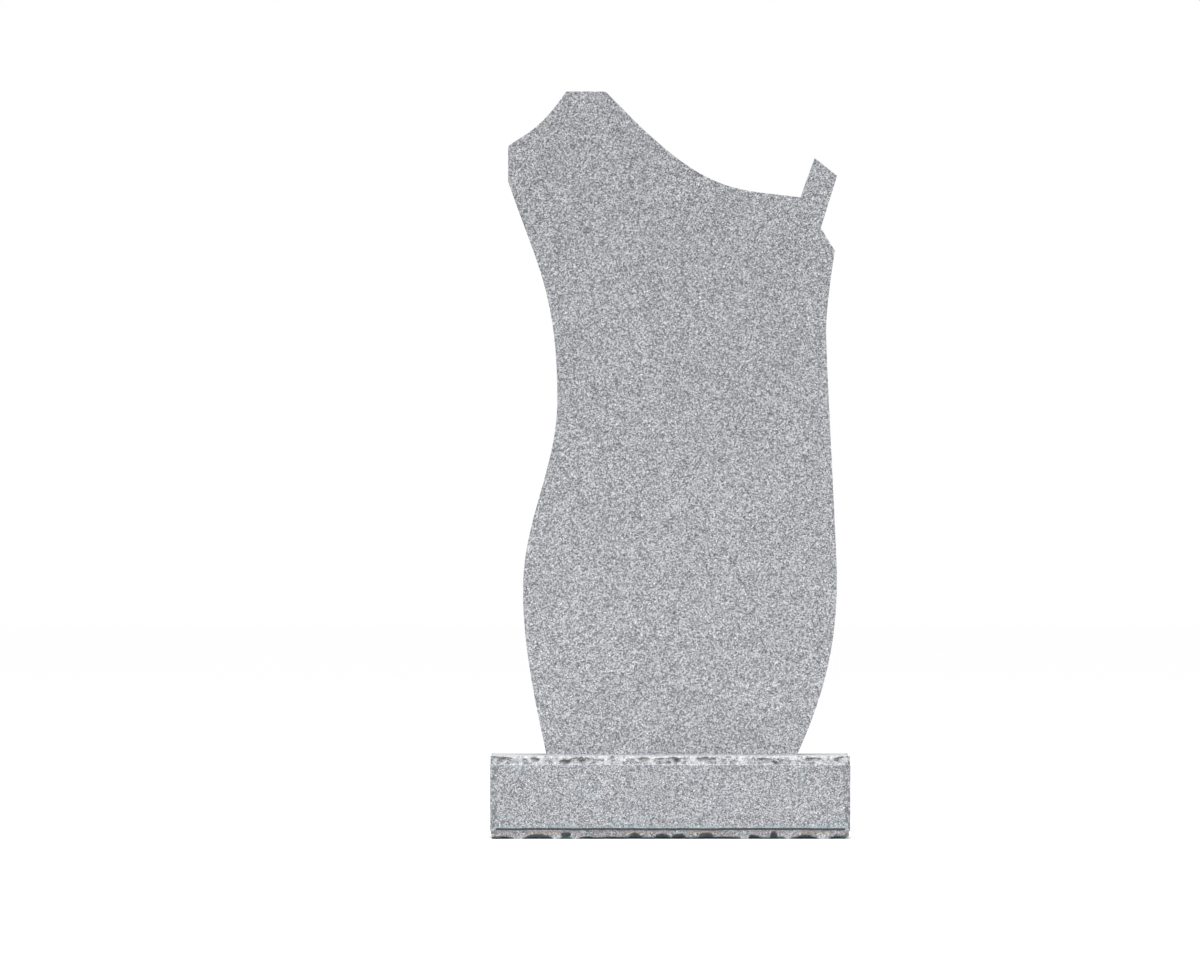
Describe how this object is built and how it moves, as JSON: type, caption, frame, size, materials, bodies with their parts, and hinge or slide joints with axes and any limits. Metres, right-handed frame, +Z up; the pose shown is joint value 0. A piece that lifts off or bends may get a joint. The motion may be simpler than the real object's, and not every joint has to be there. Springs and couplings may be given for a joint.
{
  "type": "headstone",
  "caption": "Upright grey granite headstone: a plain tablet with a shaped, asymmetric outline standing on a rectangular base block with broken edges.",
  "frame": {"origin": "middle of the base's flat underside, on the ground", "axes": "+Z up the tablet, +X to the viewer's right along the front, the front faces -Y and +Y runs to the back through the thickness"},
  "size_m": [0.65, 0.2, 1.3503],
  "materials": {
    "tablet_granite": "fine-grained light grey granite, sawn and evenly dressed, unpolished",
    "base_granite": "the same granite, sawn faces with freshly broken upper and lower edges"
  },
  "bodies": {
    "root": {"tablet": "tablet_granite", "base": "base_granite"}
  },
  "joints": []
}
